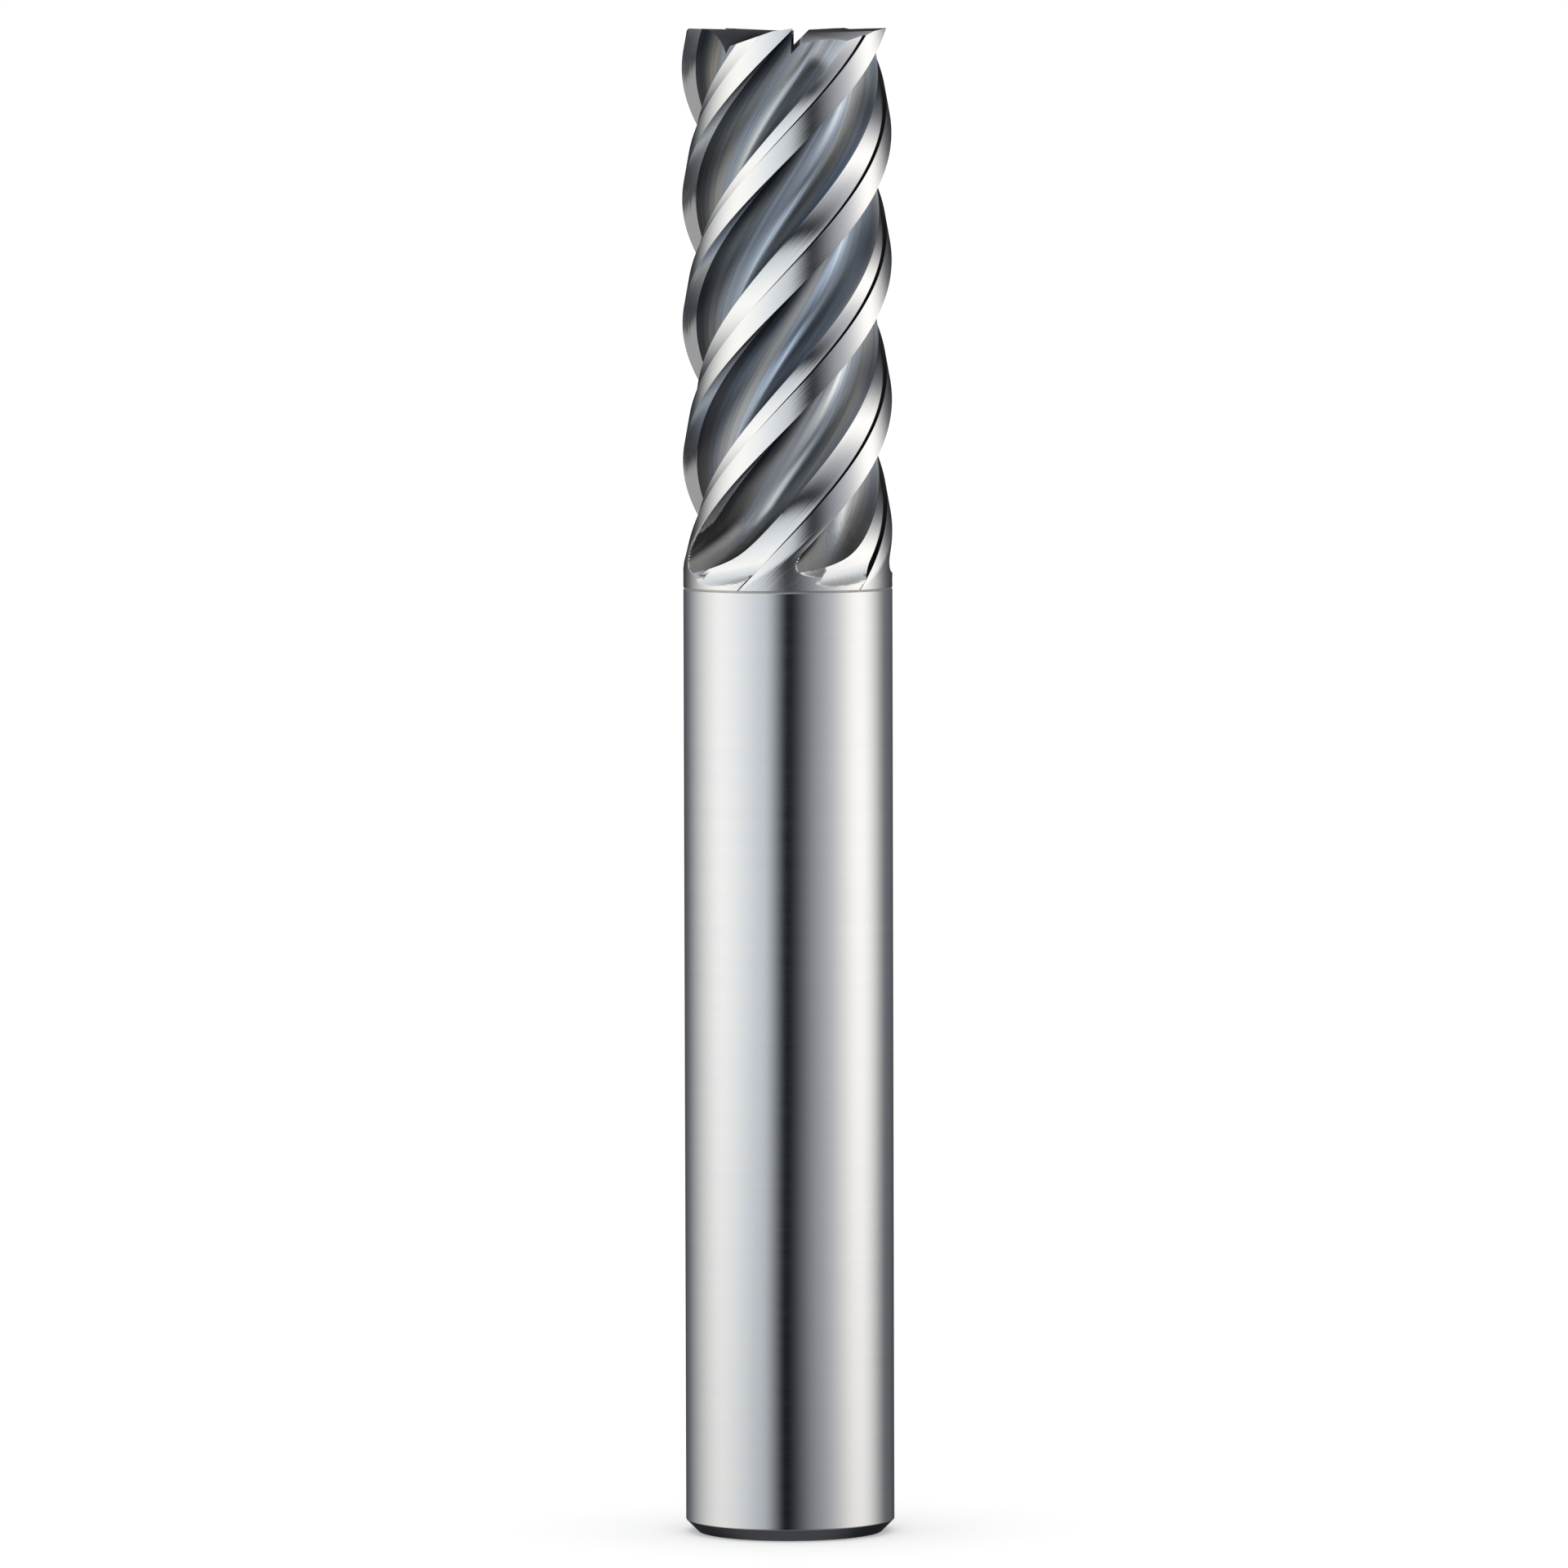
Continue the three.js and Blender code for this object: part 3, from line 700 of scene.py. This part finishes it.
def steel_material(grind):
    """Centreless-ground steel: faint rings round the bar, slow changes of tone, painted shade that darkens it
    towards the bottom, and a rougher turned chamfer whose dark colour is a painted reflection of shade."""
    material, n, shader = finish_material("ground_steel", (0.72, 0.73, 0.74), 0.22)
    place = n.add("ShaderNodeTexCoord").outputs["Object"]
    parts = n.add("ShaderNodeSeparateXYZ")
    n.link(place, parts.inputs[0])
    ring = n.add("ShaderNodeCombineXYZ")
    n.link(parts.outputs[2], ring.inputs[0])
    n.link(parts.outputs[0], ring.inputs[2])
    marks = use_group(n, grind, Vector=ring.outputs[0], Across=14000.0, Along=350.0)
    colour = n.mix(marks.outputs["Unevenness"], (0.70, 0.71, 0.725, 1), (0.76, 0.76, 0.75, 1))
    # Painted shade: the bar's colour is darker towards the bottom.
    lower_shade = n.remap(parts.outputs[2], 0.0, 36.0 * MM, 0.86, 1.0, smooth=True)
    colour = n.mix(1.0, colour, n.grey(lower_shade), blend="MULTIPLY")
    # The chamfer is made rougher, and painted dark as a painted reflection of shade.
    chamfer = n.remap(parts.outputs[2], (SHANK_CHAMFER - 0.03) * MM, SHANK_CHAMFER * MM, 1.0, 0.0)
    colour = n.mix(chamfer, colour, CHAMFER_SHADE_COLOUR)
    n.link(colour, shader.inputs["Base Color"])
    rough = n.remap(marks.outputs["Height"], 0.3, 0.7, 0.11, 0.19)
    n.link(n.math("ADD", rough, n.math("MULTIPLY", chamfer, 0.15)), shader.inputs["Roughness"])
    micro_bump(n, shader, marks.outputs["Height"], 0.12, 0.01 * MM)
    return material


def braze_material(grind):
    """Dull silver braze, a little tarnished."""
    material, n, shader = finish_material("silver_braze", (0.3, 0.28, 0.25), 0.45)
    place = n.add("ShaderNodeTexCoord").outputs["Object"]
    marks = use_group(n, grind, Vector=place, Across=2500.0, Along=2500.0)
    colour = n.mix(marks.outputs["Unevenness"], (0.42, 0.41, 0.39, 1), (0.6, 0.58, 0.54, 1))
    n.link(colour, shader.inputs["Base Color"])
    n.link(n.remap(marks.outputs["Height"], 0.3, 0.7, 0.4, 0.6), shader.inputs["Roughness"])
    return material


# ---------------------------------------------------------------- studio
# The studio's lights and their colours. A light's edges are compass directions in degrees, 0 in front of the
# tool and positive to the right: where it starts, is full, starts to fade and is gone. The back glow's edges
# count to both sides alike.
LEFT_SOFTBOX = ((-152, -74, -84, -30), (1.17, 1.16, 1.12, 1))
LEFT_FILL = ((-84, -36, -31, -2), (0.74, 0.78, 0.83, 1))
RIGHT_FILL = ((-3, 46, 86, 138), (0.49, 0.5, 0.54, 1))
RIGHT_SOFTBOX = ((36, 84, 86, 138), (0.76, 0.72, 0.63, 1))
BACK_GLOW = ((60, 130, 130, 182), (0.13, 0.135, 0.15, 1))
GAP_COLOUR = (0.004, 0.005, 0.01, 1)
BACK_COLOUR = (0.045, 0.05, 0.055, 1)
CEILING_COLOUR = (0.2, 0.185, 0.175, 1)
HIGH_COLOUR = (0.92, 0.96, 1.0, 1)
GROUND_COLOUR = (0.42, 0.42, 0.43, 1)


def studio_sides(n, compass):
    """The colour of the studio's sides at a compass direction in degrees: the dark gap in front, which turns
    a little lighter towards the back, with each light added over its own stretch."""
    away = n.math("ABSOLUTE", compass)
    sides = n.mix(n.remap(away, 10, 150, smooth=True), GAP_COLOUR, BACK_COLOUR)
    lights = [(compass, light) for light in (LEFT_SOFTBOX, LEFT_FILL, RIGHT_FILL, RIGHT_SOFTBOX)]
    lights.append((away, BACK_GLOW))
    for direction, ((start, full, fade, gone), colour) in lights:
        rising = n.remap(direction, start, full, smooth=True)
        fading = n.remap(direction, fade, gone, 1.0, 0.0, smooth=True)
        sides = n.mix(n.math("MULTIPLY", rising, fading), sides, colour, blend="ADD")
    return sides


def studio_world():
    """Soft light all round: two broad bright sides with a dark gap in front, which leans a little with
    height. Above the sides is a raised light and a dim ceiling, and below them the light fades and comes back
    a little off the ground. The background that the camera sees directly is plain white."""
    world = bpy.data.worlds.new("studio")
    bpy.context.scene.world = world
    world.use_nodes = True
    tree = world.node_tree
    n = Nodes(tree)
    tree.nodes.clear()
    way = n.add("ShaderNodeTexCoord").outputs["Generated"]
    parts = n.add("ShaderNodeSeparateXYZ")
    n.link(way, parts.inputs[0])
    aslant = n.remap(parts.outputs[2], 0.0, 0.25, 0.0, 0.125)
    across = n.math("SUBTRACT", parts.outputs[0], aslant)
    front = n.math("MULTIPLY", parts.outputs[1], -1.0)
    compass = n.math("DEGREES", n.math("ARCTAN2", across, front))
    drift = n.remap(parts.outputs[2], -0.12, -0.06, 3.0, 0.0)
    sides = studio_sides(n, n.math("ADD", compass, drift))
    raised = n.remap(parts.outputs[2], 0.42, 0.68, 0.0, 0.8, smooth=True)
    ceiling = n.remap(parts.outputs[2], 0.72, 0.95, 0.0, 1.0, smooth=True)
    low = n.remap(parts.outputs[2], -0.5, -0.12, 0.6, 0.0, smooth=True)
    low = n.math("MULTIPLY", low, n.remap(parts.outputs[0], -0.8, -0.35, 0.5, 1.0, smooth=True))
    ground = n.remap(parts.outputs[2], -0.95, -0.72, 1.0, 0.0, smooth=True)
    sky = n.mix(raised, sides, HIGH_COLOUR)
    sky = n.mix(ceiling, sky, CEILING_COLOUR)
    sky = n.mix(low, sky, (0.0, 0.0, 0.0, 1))
    sky = n.mix(ground, sky, GROUND_COLOUR)
    soft = n.add("ShaderNodeBackground")
    n.link(sky, soft.inputs["Color"])
    plain = n.add("ShaderNodeBackground")
    plain.inputs["Color"].default_value = (1, 1, 1, 1)
    path = n.add("ShaderNodeLightPath")
    seen = n.math("MAXIMUM", path.outputs["Is Camera Ray"], path.outputs["Is Diffuse Ray"])
    choose = n.add("ShaderNodeMixShader")
    n.link(seen, choose.inputs[0])
    n.link(soft.outputs[0], choose.inputs[1])
    n.link(plain.outputs[0], choose.inputs[2])
    n.link(choose.outputs[0], n.add("ShaderNodeOutputWorld").inputs[0])


def floor():
    """A wide plain floor, lit a little from below like a light table, and left out of the metal's reflections
    so that the studio sides show in them."""
    size = 60000.0
    obj = mesh_object("floor", [[-size, -size, 0], [size, -size, 0], [size, size, 0], [-size, size, 0]],
                      [(0, 1, 2, 3)])
    material = bpy.data.materials.new("white_floor")
    material.use_nodes = True
    shader = material.node_tree.nodes["Principled BSDF"]
    shader.inputs["Base Color"].default_value = (0.85, 0.85, 0.85, 1)
    shader.inputs["Emission Color"].default_value = (1, 1, 1, 1)
    shader.inputs["Emission Strength"].default_value = 0.25
    shader.inputs["Roughness"].default_value = 1.0
    shader.inputs["Specular IOR Level"].default_value = 0.0
    obj.data.materials.append(material)
    obj.visible_glossy = False


def camera():
    """A long lens, level with the cutting end and pitched a little down."""
    data = bpy.data.cameras.new("camera")
    obj = bpy.data.objects.new("camera", data)
    bpy.context.scene.collection.objects.link(obj)
    distance, height, pitch, roll = 614.0, 73.4, math.radians(3.59), math.radians(0.15)
    data.sensor_width = 36.0
    data.lens = 295.2
    data.clip_start = 0.01
    data.clip_end = 200.0
    data.shift_x = -0.00349
    data.shift_y = 0.01354
    obj.location = (0.15 * MM, -distance * MM, height * MM)
    obj.rotation_euler = (math.pi / 2 - pitch, roll, 0)
    bpy.context.scene.camera = obj


# ---------------------------------------------------------------- build
camera()
studio_world()
floor()

grind = grind_group()
pieces = [
    (shank(), steel_material(grind), "shank", "shank"),
    (braze(), braze_material(grind), "braze_joint", "braze_joint"),
    (cutting_head(), carbide_material(grind), "cutting_head", "cutting_head"),
]
for piece, material, node, slot in pieces:
    piece.data.materials.clear()
    piece.data.materials.append(material)
    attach(piece, "root")
    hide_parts(node)

bpy.context.scene.view_settings.view_transform = "Standard"
